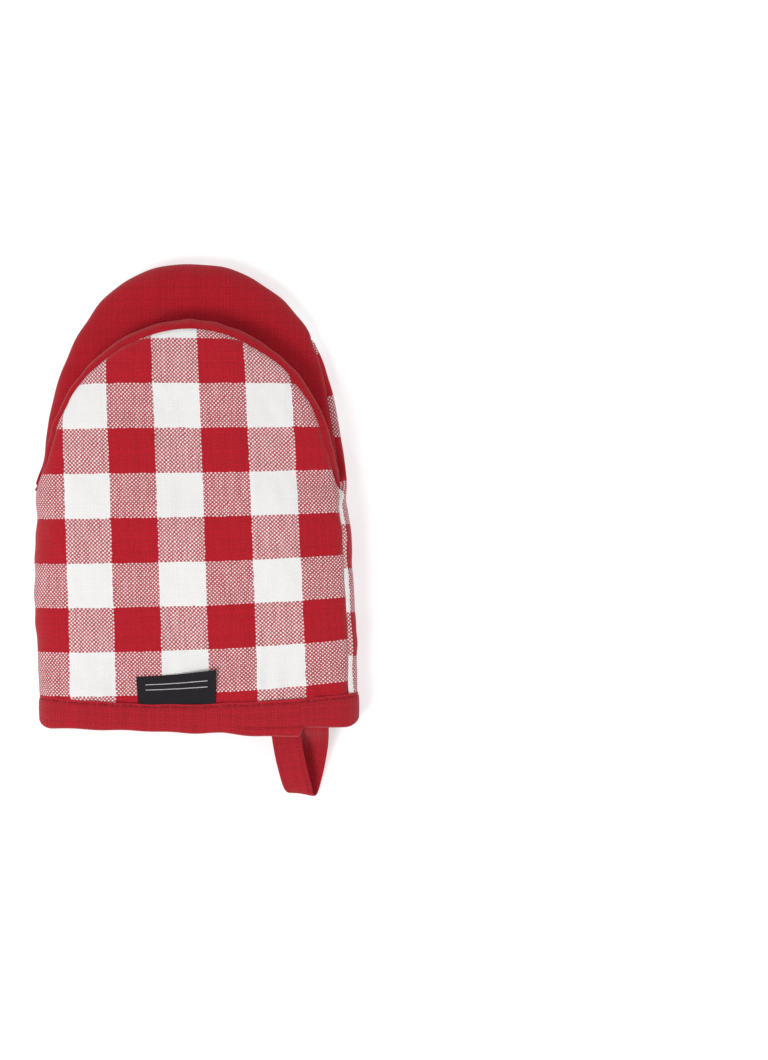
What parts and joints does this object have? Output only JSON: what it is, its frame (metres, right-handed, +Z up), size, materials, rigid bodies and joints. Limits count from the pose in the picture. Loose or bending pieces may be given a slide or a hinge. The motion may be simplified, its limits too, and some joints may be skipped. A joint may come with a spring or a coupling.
{
  "type": "oven mitt",
  "caption": "Quilted pinch-style oven mitt with a hinged thumb jaw over a longer finger jaw, a bound cuff, a hanging loop and a blank label.",
  "frame": {"origin": "On the surface that the back panel lies on, under the centre of the overall box, hanging loop included.", "axes": "+Y points to the fingertips, +Z up through the mitt from its back panel to its thumb jaw, +X across it towards the side with the hanging loop."},
  "size_m": [0.1354, 0.2286, 0.0335],
  "materials": {
    "gingham": "red and white woven gingham cotton, matte, checks about 20 mm",
    "mouth_cloth": "plain red woven cotton, matte",
    "lining": "plain red lining cotton, matte",
    "batting": "white fibre batting",
    "binding_tape": "plain red woven tape, matte",
    "loop_tape": "plain red woven tape, folded and stitched",
    "thread": "red sewing thread",
    "label": "black woven ribbon label, blank"
  },
  "bodies": {
    "sleeve": {"back_cover": "gingham", "back_batting": "batting", "back_lining": "lining", "front_cover_palm": "gingham", "front_batting_palm": "batting", "front_lining_palm": "lining", "front_cover_bend": "gingham", "front_batting_bend": "batting", "front_lining_bend": "lining", "finger_mouth_cover": "mouth_cloth", "finger_mouth_batting": "batting", "finger_mouth_lining": "lining", "cuff_binding": "binding_tape", "cuff_topstitch": "thread", "side_seam_thread_left": "thread", "side_seam_thread_right": "thread", "finger_edge_seam_thread": "thread", "loop_tail_left": "loop_tape", "loop_tail_right": "loop_tape", "loop_tack_left": "thread", "loop_tack_right": "thread"},
    "thumb_jaw": {"front_cover_thumb": "gingham", "front_batting_thumb": "batting", "front_lining_thumb": "lining", "thumb_mouth_cover": "mouth_cloth", "thumb_mouth_batting": "batting", "thumb_mouth_lining": "lining", "thumb_edge_seam_thread": "thread"},
    "loop": {"hanging_loop": "loop_tape"},
    "label": {"woven_label": "label"}
  },
  "joints": [
    {"name": "thumb_jaw_opening", "type": "hinge", "parent": "sleeve", "child": "thumb_jaw", "pos_m": [0, 0.018, 0.01675], "axis": [1, 0, 0], "range_deg": [0, 60], "deforming": ["front_cover_bend", "front_batting_bend", "front_lining_bend"]},
    {"name": "loop_swing", "type": "hinge", "parent": "sleeve", "child": "loop", "pos_m": [0.04575, -0.087, 0.01825], "axis": [-1, 0, 0], "range_deg": [0, 60]},
    {"name": "label_flip", "type": "hinge", "parent": "sleeve", "child": "label", "pos_m": [-0.0086, -0.074, 0.0268], "axis": [1, 0, 0], "range_deg": [0, 150]}
  ]
}
